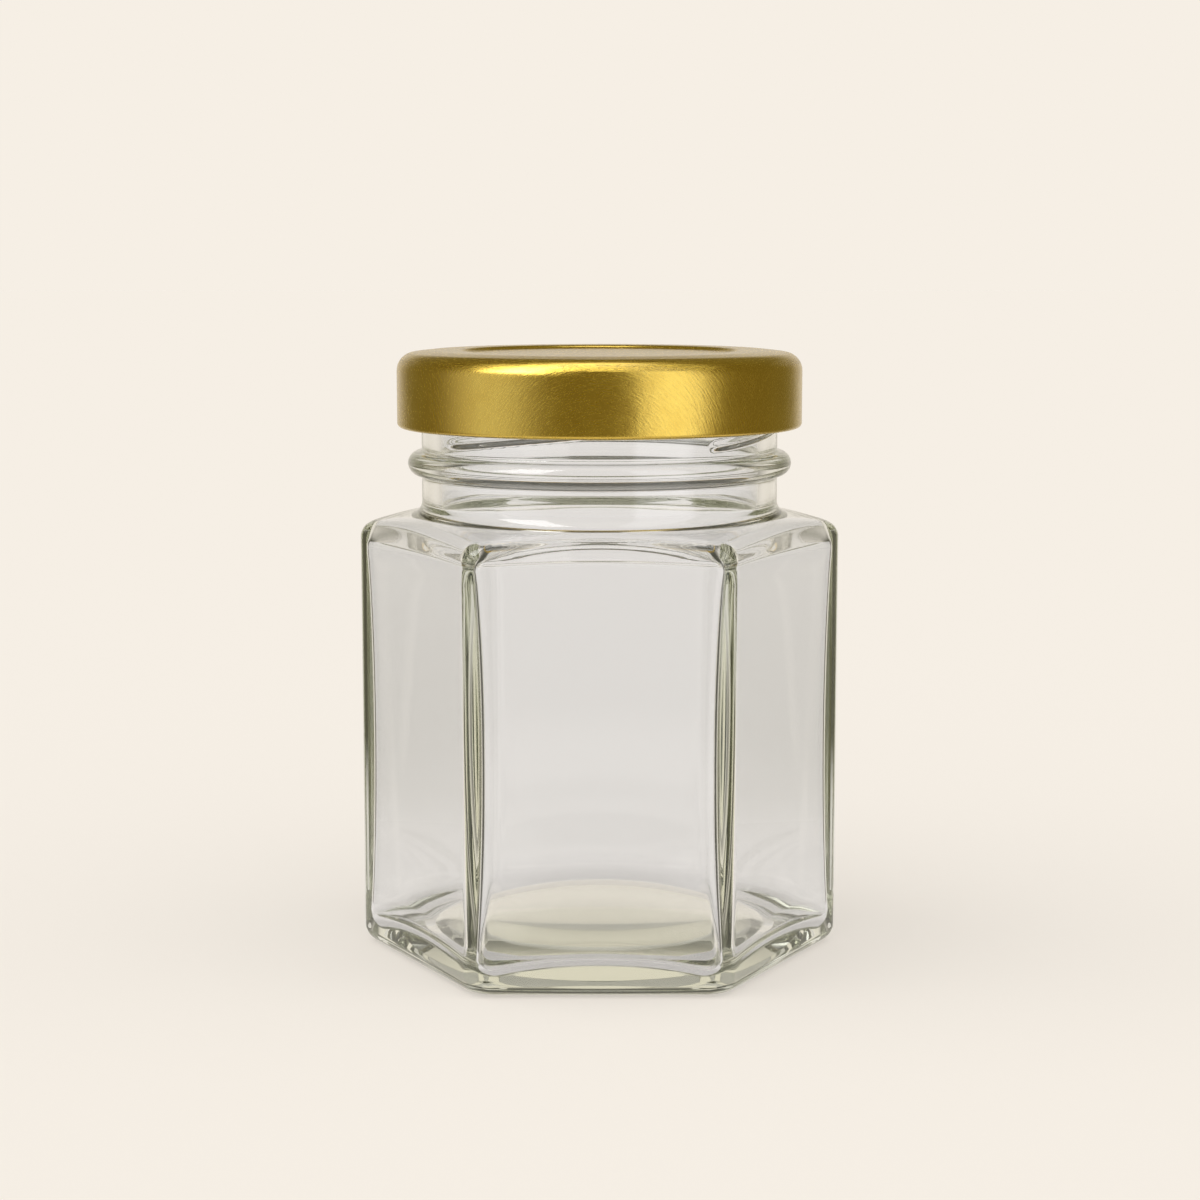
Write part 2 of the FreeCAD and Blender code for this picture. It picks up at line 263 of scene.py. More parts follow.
class GlassRings:
    """Stacks the rings of the jar's surface, from the middle of its underside to the inside floor."""

    def __init__(self, sizes, thread):
        self.s = sizes
        self.t = thread
        self.angles = jar_angles()
        self.rings = []
        self.lean = math.atan(sizes.shoulder_slope)

    def add(self, radius, height):
        """One ring, from a radius and a height that may change round it."""
        ones = np.ones_like(self.angles)
        self.rings.append((radius * ones, height * ones))

    def add_profile(self, points):
        """Round rings, one for each point of a profile."""
        for radius, height in points:
            self.add(radius, height)

    def shoulder(self, radius):
        """Height of the shoulder's cone."""
        s = self.s
        return s.shoulder_height - s.shoulder_slope * (radius - s.neck_radius - s.neck_fillet)

    def outline(self, inset, apothem=None, corner=None):
        """Radius of the hexagon, the outside one unless given, moved inwards by an inset."""
        s = self.s
        apothem = s.apothem if apothem is None else apothem
        corner = s.corner_radius if corner is None else corner
        corner = np.maximum(corner - s.corner_fade * inset, SHARPEST)
        return hexagon_radius(self.angles, apothem - inset, corner)

    def round_over(self, shape, reach, cone, low, steps):
        """Rings from walls that end level, at one height, over to a conical surface."""
        tall = np.full_like(self.angles, reach)
        for _ in range(SETTLING_ROUNDS):
            end = np.arctan2(tall, reach * self.s.shoulder_slope)
            tall = (cone(shape(reach * (1 - np.cos(end)))) - low) / np.sin(end)
        return [(shape(reach * (1 - np.cos(end * share))), low + tall * np.sin(end * share))
                for share in np.linspace(0, 1, steps)]

    def underside(self):
        """The punt, the bearing ring and the heel."""
        s = self.s
        step = s.punt_radius - s.punt_step_width
        rise = s.punt_rise - s.punt_step
        dome = (step ** 2 + rise ** 2) / (2 * rise)
        reach = math.degrees(math.asin(step / dome))
        crown = arc_points((0, s.punt_rise - dome), dome, 90, 90 - reach, steps=12)
        self.add_profile(crown[1:-1])
        corner = rounded_profile([crown[-2], (step, s.punt_step), (s.punt_radius, 0),
                                  (s.punt_radius + s.punt_step_width, 0)], PUNT_ROUNDS, steps=4)
        self.add_profile(corner[1:-1])
        inner = corner[-2][0]
        heel = self.outline(s.heel_round)
        for share in np.linspace(0, 1, BEARING_RINGS)[1:-1]:
            self.add((1 - share) * inner + share * heel, 0.0)
        for turn in np.radians(np.linspace(-90, 0, HEEL_RINGS)):
            inset = s.heel_round * (1 - math.cos(turn))
            self.add(self.outline(inset), s.heel_round * (1 + math.sin(turn)))

    def walls(self):
        """The flat walls, their rounding and the shoulder."""
        s = self.s
        top = s.shoulder_height - s.wall_drop
        for height in np.linspace(s.heel_round, top, WALL_RINGS)[1:-1]:
            self.add(self.outline(0), height)
        rounding = self.round_over(self.outline, s.shoulder_round, self.shoulder, top, SHOULDER_ROUND_RINGS)
        for radius, height in rounding:
            self.add(radius, height)
        rim = self.rings[-1][0]
        foot = s.neck_radius + s.neck_fillet * (1 - math.sin(self.lean))
        for share in np.linspace(0, 1, SHOULDER_RINGS)[1:]:
            radius = (1 - share) * rim + share * foot
            self.add(radius, self.shoulder(radius))

    def neck(self):
        """The neck with its transfer bead."""
        s = self.s
        centre_radius = s.neck_radius + s.neck_fillet
        centre = (centre_radius, self.shoulder(centre_radius) + s.neck_fillet / math.cos(self.lean))
        self.add_profile(arc_points(centre, s.neck_fillet, 270 - math.degrees(self.lean), 180, steps=10)[1:])
        inwards = s.bead_fillet - (s.bead_reach - s.bead_radius)
        rise = math.sqrt((s.bead_radius + s.bead_fillet) ** 2 - inwards ** 2)
        touch = math.degrees(math.atan2(rise, inwards))
        hollow = s.neck_radius + s.bead_fillet
        bead = (s.neck_radius + s.bead_reach - s.bead_radius, s.bead_height)
        low = s.bead_height - rise
        for height in np.linspace(centre[1], low, NECK_RINGS)[1:-1]:
            self.add(s.neck_radius, height)
        self.add_profile(arc_points((hollow, low), s.bead_fillet, 180, 180 - touch, steps=5))
        self.add_profile(arc_points(bead, s.bead_radius, -touch, touch, steps=18)[1:-1])
        above = (hollow, s.bead_height + rise)
        self.add_profile(arc_points(above, s.bead_fillet, 180 + touch, 180, steps=5))
        self.finish(s.bead_height + rise)

    def finish(self, low):
        """The cylindrical finish with its thread, up to the lip."""
        s = self.s
        high = JAR_HIGH.z - s.lip_outer_round
        for height in np.linspace(low, high, FINISH_RINGS)[1:-1]:
            self.add(s.neck_radius + self.thread(height), height)
        outer = (s.neck_radius - s.lip_outer_round, high)
        self.add_profile(arc_points(outer, s.lip_outer_round, 0, 90, steps=8))
        inner = (s.mouth_radius + s.lip_inner_round, JAR_HIGH.z - s.lip_inner_round)
        self.add_profile(arc_points(inner, s.lip_inner_round, 90, 180, steps=8))

    def thread(self, height):
        """How far the thread stands out of the finish at a height, all round."""
        t = self.t
        reach = np.zeros_like(self.angles)
        for start in range(t.starts):
            along = (self.angles - t.low_angle - start * 2 * math.pi / t.starts) % (2 * math.pi)
            centre = t.low_height + t.rise * along / t.span
            off = np.clip(np.abs(height - centre) / t.half_width, 0, 1)
            section = 0.5 + 0.5 * np.cos(math.pi * off)
            ends = np.clip(np.minimum(along, t.span - along) / t.run_out, 0, 1)
            reach = np.maximum(reach, t.reach * section ** THREAD_FULLNESS * ends * ends * (3 - 2 * ends))
        return reach

    def inside(self):
        """From the lip down the mouth, over the cell's ceiling and walls, to its floor."""
        s = self.s
        drop = s.shoulder_wall / math.cos(self.lean)

        def ceiling(radius):
            return self.shoulder(radius) - drop

        centre_radius = s.mouth_radius + s.throat_round
        throat = (centre_radius, ceiling(centre_radius) + s.throat_round / math.cos(self.lean))
        top = JAR_HIGH.z - s.lip_inner_round
        for height in np.linspace(top, throat[1], MOUTH_RINGS)[1:]:
            self.add(s.mouth_radius, height)
        level = 270 - math.degrees(self.lean)
        self.add_profile(arc_points(throat, s.throat_round, 180, level, steps=10)[1:])
        foot = centre_radius - s.throat_round * math.sin(self.lean)
        apothem = s.apothem - s.wall

        def shape(inset):
            return self.outline(inset, apothem, s.inner_corner)

        top_round = s.inner_top_round
        ball = s.shoulder_height - s.cell_drop
        turned = self.round_over(shape, top_round, ceiling, ball, CEILING_ROUND_RINGS)
        for share in np.linspace(0, 1, CEILING_RINGS)[1:-1]:
            radius = (1 - share) * foot + share * turned[-1][0]
            self.add(radius, ceiling(radius))
        for radius, height in reversed(turned):
            self.add(radius, height)
        heel = s.inner_heel_round

        def floor(radius):
            return s.floor_height - s.floor_crown + np.sqrt(s.floor_crown ** 2 - radius ** 2)

        tilt = np.arcsin(shape(heel * TILT_INSET) / s.floor_crown)
        low = floor(shape(heel)) + heel / np.cos(tilt)
        for share in np.linspace(0, 1, CELL_RINGS)[1:-1]:
            height = (1 - share) * ball + share * low
            bow = (4 * share * (1 - share)) ** WAIST_FULLNESS
            corner = s.inner_corner + (s.waist_corner - s.inner_corner) * bow
            self.add(self.outline(0, apothem - s.waist_extra * bow, corner), height)
        for share in np.linspace(0, 1, INNER_HEEL_RINGS):
            turn = -(math.pi / 2 + tilt) * share
            inset = heel * (1 - np.cos(turn))
            self.add(shape(inset), low + heel * np.sin(turn))
        edge = self.rings[-1][0]
        for share in np.linspace(1, 0, FLOOR_RINGS)[1:-1]:
            radius = share * (share * edge + (1 - share) * edge.mean())
            self.add(radius, floor(radius))
        self.middles = (s.punt_rise, s.floor_height)

    def mesh(self, name):
        """The closed surface as one mesh."""
        self.underside()
        self.walls()
        self.neck()
        self.inside()
        count = len(self.angles)
        cosine, sine = np.cos(self.angles), np.sin(self.angles)
        points = [np.column_stack([r * cosine, r * sine, h]) for r, h in self.rings]
        points.append(np.array([(0, 0, self.middles[0]), (0, 0, self.middles[1])]))
        points = np.vstack(points)
        around = np.arange(count)
        following = (around + 1) % count
        faces = []
        for ring in range(len(self.rings) - 1):
            a, b = ring * count, (ring + 1) * count
            faces += np.column_stack([a + around, a + following, b + following, b + around]).tolist()
        bottom, top = len(self.rings) * count, len(self.rings) * count + 1
        last = (len(self.rings) - 1) * count
        faces += np.column_stack([np.full(count, bottom), following, around]).tolist()
        faces += np.column_stack([last + around, last + following, np.full(count, top)]).tolist()
        made = bpy.data.meshes.new(name)
        made.from_pydata(points.tolist(), [], faces)
        made.polygons.foreach_set("use_smooth", np.ones(len(faces), bool))
        made.validate()
        return made


class Nodes:
    """Adds nodes to a tree in few words."""

    def __init__(self, tree):
        self.tree = tree

    def new(self, kind, inputs=None, **settings):
        """A node with its settings, and with values or links for its inputs."""
        node = self.tree.nodes.new(kind)
        for name, value in settings.items():
            setattr(node, name, value)
        for key, value in (inputs or {}).items():
            self.feed(node.inputs[key], value)
        return node

    def feed(self, socket, value):
        """Links a socket's value, or sets it."""
        if isinstance(value, bpy.types.NodeSocket):
            self.tree.links.new(value, socket)
        else:
            socket.default_value = value

    def math(self, operation, *values):
        """The result of one Math node."""
        return self.new("ShaderNodeMath", dict(enumerate(values)), operation=operation).outputs[0]

    def distance(self, first, second):
        """Length of the vector with these two parts."""
        squares = [self.math("POWER", value, 2.0) for value in (first, second)]
        return self.math("SQRT", self.math("ADD", *squares))

    def smooth(self, value, low, high, to_low=0.0, to_high=1.0):
        """A smooth step from to_low at low to to_high at high."""
        if low > high:
            low, high, to_low, to_high = high, low, to_high, to_low
        inputs = {"Value": value, "From Min": low, "From Max": high, "To Min": to_low, "To Max": to_high}
        return self.new("ShaderNodeMapRange", inputs, interpolation_type="SMOOTHSTEP").outputs[0]

    def window(self, value, low, high, edge):
        """One between low and high, and nought outside them."""
        rise = self.smooth(value, low - edge / 2, low + edge / 2)
        return self.math("MULTIPLY", rise, self.smooth(value, high + edge / 2, high - edge / 2))

    def blend(self, share, first, second):
        """The first colour, or the second as the share goes to one."""
        # A Mix node's colour sockets share their names with its others, so they go by number.
        node = self.new("ShaderNodeMix", data_type="RGBA")
        self.feed(node.inputs["Factor"], share)
        self.feed(node.inputs[6], first)
        self.feed(node.inputs[7], second)
        return node.outputs[2]


# ------------------------------------------------------------------ materials
def new_material(name):
    """A material with only a Principled shader, and the shader."""
    material = bpy.data.materials.new(name)
    material.use_nodes = True
    nodes = material.node_tree.nodes
    shader = nodes["Principled BSDF"]
    return material, material.node_tree, shader


def glass_material(finish):
    """Clear glass, tinted where it is thick."""
    material, tree, shader = new_material("clear_glass")
    shader.inputs["Base Color"].default_value = (1, 1, 1, 1)
    shader.inputs["Roughness"].default_value = 0.0
    shader.inputs["IOR"].default_value = finish.glass_ior
    shader.inputs["Transmission Weight"].default_value = 1.0
    absorb = tree.nodes.new("ShaderNodeVolumeAbsorption")
    absorb.inputs["Color"].default_value = (*finish.glass_tint, 1)
    absorb.inputs["Density"].default_value = finish.glass_density
    tree.links.new(absorb.outputs["Volume"], tree.nodes["Material Output"].inputs["Volume"])
    return material


BRUSH_SECTORS = 4
BRUSH_PIVOT = 4.5 * MM
BRUSH_FINENESS = 4300.0
BRUSH_ROUGHNESS = 0.62
SKIRT_STRETCH = 7.0
TOP_STRETCH = 6.0
TOP_LAYER = 3.0
# Depths below the lid's top between which the skirt's arches give way to the top's rings.
ARCH_END, RING_START = 1.6 * MM, 0.7 * MM
WAVER_SCALE = 500.0
WAVER = 0.25 * MM
PATCH_SCALE = 210.0
PATCH_RANGE = (0.30, 0.62)
FAINTEST = 0.35
GRAIN_SCALE = 4500.0
GRAIN_SHARE = 0.25
SEAM_WIDTH = 0.26
# Painted shade: the gold is darkened by these shares where the brush relief is low, as if shade lay in the
# grooves.
GROOVE_SHADE_GOLD = (0.88, 0.84, 0.72)
GROOVE_SHADE_RANGE = (0.15, 0.85)
NOISE_RANGE = (0.2, 0.8)
DULLER, SHINIER = 0.05, 0.04
COAT_WEIGHT = 0.6
COAT_ROUGHNESS = 0.22


def gold_material(finish):
    """Satin gold lacquer over brushed sheet: arched brush marks on the skirt, rings on the top."""
    material, tree, shader = new_material("satin_gold")
    make = Nodes(tree)
    place = make.new("ShaderNodeTexCoord").outputs["Object"]
    split = make.new("ShaderNodeSeparateXYZ", {0: place})
    across, along, up = (split.outputs[axis] for axis in "XYZ")
    around = make.math("ARCTAN2", across, make.math("MULTIPLY", along, -1.0))
    half = math.pi / BRUSH_SECTORS
    sideways = make.new("ShaderNodeMath", {0: around, 1: half, 2: -half}, operation="WRAP").outputs[0]
    sector = make.math("SUBTRACT", around, sideways)
    # Each sector's brush swings about a point a little below the skirt.
    level = make.math("MULTIPLY", sideways, LID_HIGH.x)
    above = make.math("SUBTRACT", up, LID_LOW.z - BRUSH_PIVOT)
    reach = make.distance(level, above)
    swing = make.math("ARCTAN2", level, above)
    waver = make.new("ShaderNodeTexNoise", {"Vector": place, "Scale": WAVER_SCALE, "Detail": 1.0}).outputs[0]
    waver = make.math("MULTIPLY", waver, WAVER)
    wavered = make.math("ADD", reach, waver)
    arches = make.new("ShaderNodeCombineXYZ", {0: make.math("MULTIPLY", wavered, BRUSH_FINENESS),
                                               1: make.math("MULTIPLY", swing, SKIRT_STRETCH),
                                               2: sector}).outputs[0]
    out = make.distance(across, along)
    rings = make.new("ShaderNodeCombineXYZ", {0: make.math("MULTIPLY", out, BRUSH_FINENESS),
                                              1: make.math("MULTIPLY", around, TOP_STRETCH),
                                              2: TOP_LAYER}).outputs[0]
    top = make.smooth(up, LID_HIGH.z - ARCH_END, LID_HIGH.z - RING_START)
    lines = make.new("ShaderNodeMix", {"Factor": top}, data_type="VECTOR")
    make.feed(lines.inputs[4], arches)
    make.feed(lines.inputs[5], rings)
    marks = make.new("ShaderNodeTexNoise", {"Vector": lines.outputs[1], "Scale": 1.0, "Detail": 3.0,
                                            "Roughness": BRUSH_ROUGHNESS}).outputs[0]
    patches = make.new("ShaderNodeTexNoise", {"Vector": place, "Scale": PATCH_SCALE,
                                              "Detail": 2.0}).outputs[0]
    grain = make.new("ShaderNodeTexNoise", {"Vector": place, "Scale": GRAIN_SCALE, "Detail": 2.0}).outputs[0]
    seam = make.smooth(make.math("ABSOLUTE", sideways), half, half - SEAM_WIDTH)
    even = make.smooth(patches, *PATCH_RANGE, FAINTEST, 1.0)
    depth = make.math("MULTIPLY", make.math("MAXIMUM", seam, top), even)
    relief = make.math("ADD", make.math("MULTIPLY", marks, depth), make.math("MULTIPLY", grain, GRAIN_SHARE))
    bump = make.new("ShaderNodeBump", {"Strength": 1.0, "Distance": finish.brush_depth, "Height": relief})
    tree.links.new(bump.outputs[0], shader.inputs["Normal"])
    # Painted shade: the base colour darkens towards the low parts of the brush marks and the grain, as shade
    # in their grooves.
    shade = make.smooth(relief, *GROOVE_SHADE_RANGE)
    deep = tuple(part * share for part, share in zip(finish.gold, GROOVE_SHADE_GOLD))
    tree.links.new(make.blend(shade, (*deep, 1), (*finish.gold, 1)), shader.inputs["Base Color"])
    rough = make.smooth(marks, *NOISE_RANGE, finish.gold_roughness + DULLER, finish.gold_roughness - SHINIER)
    tree.links.new(rough, shader.inputs["Roughness"])
    shader.inputs["Metallic"].default_value = 1.0
    shader.inputs["Coat Weight"].default_value = COAT_WEIGHT
    shader.inputs["Coat Roughness"].default_value = COAT_ROUGHNESS
    return material


MOTTLE_SHADE = 0.90
MOTTLE_RANGE = (0.3, 0.7)
COATING_SPREAD = 0.06
PEEL_FINENESS = 9
PEEL_STRENGTH = 0.4
PEEL_DEPTH = 0.02 * MM


def coating_material(name, tint, roughness, scale):
    """A smooth coating with faint mottling and a faint orange-peel surface."""
    material, tree, shader = new_material(name)
    make = Nodes(tree)
    place = make.new("ShaderNodeTexCoord").outputs["Object"]
    mottle = make.new("ShaderNodeTexNoise", {"Vector": place, "Scale": scale, "Detail": 4.0}).outputs[0]
    peel = make.new("ShaderNodeTexNoise", {"Vector": place, "Scale": scale * PEEL_FINENESS,
                                           "Detail": 2.0}).outputs[0]
    deep = tuple(MOTTLE_SHADE * part for part in tint)
    shade = make.blend(make.smooth(mottle, *MOTTLE_RANGE), (*deep, 1), (*tint, 1))
    tree.links.new(shade, shader.inputs["Base Color"])
    rough = make.smooth(mottle, *NOISE_RANGE, roughness + COATING_SPREAD, roughness - COATING_SPREAD)
    tree.links.new(rough, shader.inputs["Roughness"])
    bump = make.new("ShaderNodeBump", {"Strength": PEEL_STRENGTH, "Distance": PEEL_DEPTH, "Height": peel})
    tree.links.new(bump.outputs[0], shader.inputs["Normal"])
    return material


# ------------------------------------------------------------------ operators
def link(name, mesh):
    """A new object at the origin."""
    piece = bpy.data.objects.new(name, mesh)
    bpy.context.scene.collection.objects.link(piece)
    return piece


class JAR_OT_glass(bpy.types.Operator):
    """Makes the glass jar with its thread."""

    bl_idname = "jar.glass"
    bl_label = "Glass Jar"

    def execute(self, context):
        settings = context.scene.jar_settings
        mesh = GlassRings(settings.glass, settings.thread).mesh("jar_glass")
        mesh.materials.append(glass_material(settings.finish))
        piece = link("jar_glass", mesh)
        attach(piece, "root")
        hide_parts("glass_jar")
        return {"FINISHED"}


# The panel's step leans by this much of its depth, and the section's corners have these radii.
STEP_LEAN = 1.2
STEP_ROUND = 0.8 * MM
CREST_ROUND = 8.0 * MM
# Points closer together than this are one.
SAME_POINT = 0.002 * MM


def lid_profile(lid):
    """The sheet's section, from the middle of the top out to the rolled edge and back inside.

    Gives the points, and the number of the first point on the inside.
    """
    radius, top, low = LID_HIGH.x, LID_HIGH.z, LID_LOW.z
    panel = top - lid.panel_drop
    foot = lid.ring_inner - lid.panel_drop * STEP_LEAN
    skirt = top - lid.ring_fall
    corner = (radius, skirt)
    middle = (radius - lid.curl_radius, low + lid.curl_radius)
    crest = (lid.ring_crest, top)
    path = [(0.0, panel), (foot, panel), (lid.ring_inner, top), crest, corner, (radius, middle[1])]
    outside = rounded_profile(path, [STEP_ROUND, STEP_ROUND, CREST_ROUND, lid.corner_round], steps=9)
    sweep = math.degrees(lid.curl_sweep)
    outside += arc_points(middle, lid.curl_radius, 0, -sweep, steps=30)[1:]
    inside = offset_profile(outside, lid.sheet)[::-1]
    return outside + inside, len(outside)


def offset_profile(points, gap):
    """The same open profile moved sideways by a gap, to the right of its direction."""
    points = np.array(points)
    along = np.gradient(points, axis=0)
    along /= np.linalg.norm(along, axis=1)[:, None]
    moved = points + gap * np.column_stack([along[:, 1], -along[:, 0]])
    moved[0, 0] = 0.0
    return [(float(max(r, 0.0)), float(h)) for r, h in moved]


def turned_tree():
    """The node tree that turns a profile about the axis and sets lugs round its rolled edge."""
    tree = bpy.data.node_groups.new("turned_sheet", "GeometryNodeTree")
    tree.is_modifier = True
    face = tree.interface
    face.new_socket("Profile", in_out="INPUT", socket_type="NodeSocketGeometry")
    for name, kind in (("Steps", "Int"), ("Inside From", "Int"), ("Lugs", "Int"), ("First Lug", "Float"),
                       ("Lug Span", "Float"), ("Lug Reach", "Float"), ("Lug Root", "Float"),
                       ("Lug Height", "Float"), ("Lug Thickness", "Float"), ("Gold", "Material"),
                       ("Lining", "Material")):
        face.new_socket(name, in_out="INPUT", socket_type="NodeSocket" + kind)
    face.new_socket("Lid", in_out="OUTPUT", socket_type="NodeSocketGeometry")
    make = Nodes(tree)
    given = make.new("NodeGroupInput").outputs
    sheet, row = turned_grid(make, given["Profile"], given["Steps"])
    sheet = make.new("GeometryNodeMergeByDistance", {"Geometry": sheet, "Distance": SAME_POINT}).outputs[0]
    sheet = make.new("GeometryNodeSetMaterial", {"Geometry": sheet, "Material": given["Gold"]}).outputs[0]
    inside = make.new("FunctionNodeCompare", {0: row, 1: make.math("SUBTRACT", given["Inside From"], 0.5)},
                      data_type="FLOAT", operation="GREATER_THAN").outputs[0]
    sheet = make.new("GeometryNodeSetMaterial", {"Geometry": sheet, "Selection": inside,
                                                 "Material": given["Lining"]}).outputs[0]
    lug = lug_shape(make, given)
    spots = make.new("GeometryNodeMeshLine", {"Count": given["Lugs"], "Offset": (0, 0, 0)}).outputs[0]
    index = make.new("GeometryNodeInputIndex").outputs[0]
    turn = make.math("MULTIPLY", index, make.math("DIVIDE", 2 * math.pi, given["Lugs"]))
    turn = make.math("ADD", turn, given["First Lug"])
    aim = make.new("ShaderNodeCombineXYZ", {2: turn}).outputs[0]
    lugs = make.new("GeometryNodeInstanceOnPoints", {"Points": spots, "Instance": lug,
                                                     "Rotation": aim}).outputs[0]
    lugs = make.new("GeometryNodeRealizeInstances", {0: lugs}).outputs[0]
    lugs = make.new("GeometryNodeSetMaterial", {"Geometry": lugs, "Material": given["Lining"]}).outputs[0]
    both = make.new("GeometryNodeJoinGeometry")
    tree.links.new(lugs, both.inputs[0])
    tree.links.new(sheet, both.inputs[0])
    smooth = make.new("GeometryNodeSetShadeSmooth", {"Geometry": both.outputs[0],
                                                     "Shade Smooth": True}).outputs[0]
    tree.links.new(smooth, make.new("NodeGroupOutput").inputs[0])
    return tree


def turned_grid(make, profile, steps):
    """A grid laid round the axis: one row for each profile point. Gives the surface and each point's row."""
    rows = make.new("GeometryNodeAttributeDomainSize", {0: profile}).outputs["Point Count"]
    columns = make.math("ADD", steps, 1.0)
    grid = make.new("GeometryNodeMeshGrid", {"Size X": 1.0, "Size Y": 1.0, "Vertices X": rows,
                                             "Vertices Y": columns}).outputs[0]
    index = make.new("GeometryNodeInputIndex").outputs[0]
    row = make.math("FLOOR", make.math("DIVIDE", make.math("ADD", index, 0.5), columns))
    column = make.math("SUBTRACT", index, make.math("MULTIPLY", row, columns))
    kept = make.new("GeometryNodeCaptureAttribute", {0: grid})
    kept.capture_items.new("FLOAT", "Row")
    make.feed(kept.inputs[1], row)
    turn = make.math("MULTIPLY", make.math("DIVIDE", column, steps), 2 * math.pi)
    spot = make.new("GeometryNodeSampleIndex", {"Geometry": profile, "Index": row}, data_type="FLOAT_VECTOR",
                    clamp=True)
    make.feed(spot.inputs["Value"], make.new("GeometryNodeInputPosition").outputs[0])
    split = make.new("ShaderNodeSeparateXYZ", {0: spot.outputs[0]})
    reach, height = split.outputs["X"], split.outputs["Z"]
    place = make.new("ShaderNodeCombineXYZ", {0: make.math("MULTIPLY", reach, make.math("COSINE", turn)),
                                              1: make.math("MULTIPLY", reach, make.math("SINE", turn)),
                                              2: height}).outputs[0]
    laid = make.new("GeometryNodeSetPosition", {"Geometry": kept.outputs[0], "Position": place}).outputs[0]
    return laid, kept.outputs[1]


LUG_AROUND = 16
LUG_ALONG = 28
# The higher this is, the later a lug starts to thin out.
LUG_FULLNESS = 6.0
# The lugs' height above the lid's foot, in thicknesses, and the depth of their roots, in curl radii.
LUG_LEVEL = 1.5
LUG_ROOT = 0.9


def lug_shape(make, given):
    """One folded lug, thinning out into the rolled edge at both ends."""
    grid = make.new("GeometryNodeMeshGrid", {"Size X": 1.0, "Size Y": 1.0, "Vertices X": LUG_AROUND + 1,
                                             "Vertices Y": LUG_ALONG + 1}).outputs[0]
    index = make.new("GeometryNodeInputIndex").outputs[0]
    row = make.math("FLOOR", make.math("DIVIDE", make.math("ADD", index, 0.5), LUG_ALONG + 1.0))
    column = make.math("SUBTRACT", index, make.math("MULTIPLY", row, LUG_ALONG + 1.0))
    share = make.math("MULTIPLY_ADD", column, 2.0 / LUG_ALONG, -1.0)
    full = make.math("SUBTRACT", 1.0, make.math("POWER", make.math("ABSOLUTE", share), LUG_FULLNESS))
    turn = make.math("MULTIPLY", share, make.math("MULTIPLY", given["Lug Span"], 0.5))
    round_way = make.math("MULTIPLY", row, 2 * math.pi / LUG_AROUND)
    half_reach = make.math("MULTIPLY", make.math("SUBTRACT", given["Lug Root"], given["Lug Reach"]), 0.5)
    outwards = make.math("MULTIPLY", half_reach, make.math("SUBTRACT", make.math("COSINE", round_way), 1.0))
    radius = make.math("MULTIPLY_ADD", outwards, full, given["Lug Root"])
    thick = make.math("MULTIPLY", make.math("MULTIPLY", given["Lug Thickness"], 0.5), full)
    height = make.math("MULTIPLY_ADD", make.math("SINE", round_way), thick, given["Lug Height"])
    place = make.new("ShaderNodeCombineXYZ", {0: make.math("MULTIPLY", radius, make.math("COSINE", turn)),
                                              1: make.math("MULTIPLY", radius, make.math("SINE", turn)),
                                              2: height}).outputs[0]
    laid = make.new("GeometryNodeSetPosition", {"Geometry": grid, "Position": place}).outputs[0]
    return make.new("GeometryNodeMergeByDistance", {"Geometry": laid, "Distance": SAME_POINT}).outputs[0]


def finished(name, source):
    """A plain mesh object made from what a source object's modifiers give."""
    depsgraph = bpy.context.evaluated_depsgraph_get()
    mesh = bpy.data.meshes.new_from_object(source.evaluated_get(depsgraph))
    mesh.name = name
    source.modifiers.clear()
    bpy.data.objects.remove(source)
    return link(name, mesh)


class JAR_OT_lid(bpy.types.Operator):
    """Turns the pressed lid with its rolled edge and lugs, and finishes the seal."""

    bl_idname = "jar.lid"
    bl_label = "Lid"

    def execute(self, context):
        settings = context.scene.jar_settings
        lid, finish = settings.lid, settings.finish
        points, inside = lid_profile(lid)
        profile = bpy.data.meshes.new("lid_profile")
        profile.from_pydata([(r, 0, h) for r, h in points], [(n, n + 1) for n in range(len(points) - 1)], [])
        source = link("lid_profile", profile)
        tree = turned_tree()
        modifier = source.modifiers.new("turned_sheet", "NODES")
        modifier.node_group = tree
        named = {item.name: item.identifier for item in tree.interface.items_tree if item.in_out == "INPUT"}
        middle = LID_LOW.z + lid.lug_thickness * LUG_LEVEL
        values = {"Steps": lid.steps, "Inside From": inside, "Lugs": lid.lugs, "First Lug": lid.lug_first,
                  "Lug Span": lid.lug_span, "Lug Reach": lid.lug_reach,
                  "Lug Root": LID_HIGH.x - LUG_ROOT * lid.curl_radius, "Lug Height": middle,
                  "Lug Thickness": lid.lug_thickness, "Gold": gold_material(finish),
                  "Lining": coating_material("white_lining", finish.lining, roughness=0.38, scale=900.0)}
        for name, value in values.items():
            modifier[named[name]] = value
        piece = finished("lid_sheet", source)
        if not piece.data.polygons:
            raise RuntimeError("the lid's tree made no faces")
        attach(piece, "root")
        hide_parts("lid")
        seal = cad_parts["lid_seal"]
        seal.data.materials.clear()
        seal.data.materials.append(coating_material("sealing_compound", finish.compound, roughness=0.55,
                                                    scale=700.0))
        return {"FINISHED"}


CAMERA_DISTANCE = 0.3025
CAMERA_HEIGHT = 0.0841
CAMERA_TILT = math.radians(7.82)
CAMERA_LENS = 75.0
CAMERA_ASIDE = 0.00006
SENSOR_WIDTH = 36.0
FLOOR_REACH = 6.0
FLOOR_DROP = 0.1 * MM
# Mirror-like rays see the floor up to the first of these distances, and none past the second.
MIRRORED_FLOOR = (0.06, 0.12)
# Where the backdrop shows in reflections: the share of the direction that points away, and the elevation.
AWAY_OUTSIDE = (0.70, 1.0)
AWAY_INSIDE = (0.38, 0.82)
RISE_OUTSIDE = (0.50, 0.12)
RISE_INSIDE = (0.9, 0.3)
BACKDROP_OUTSIDE = 0.8
LAMP_SPREAD = math.radians(60)
LAMP_FORWARD = 0.12
LIGHT_RISE = math.radians(48)
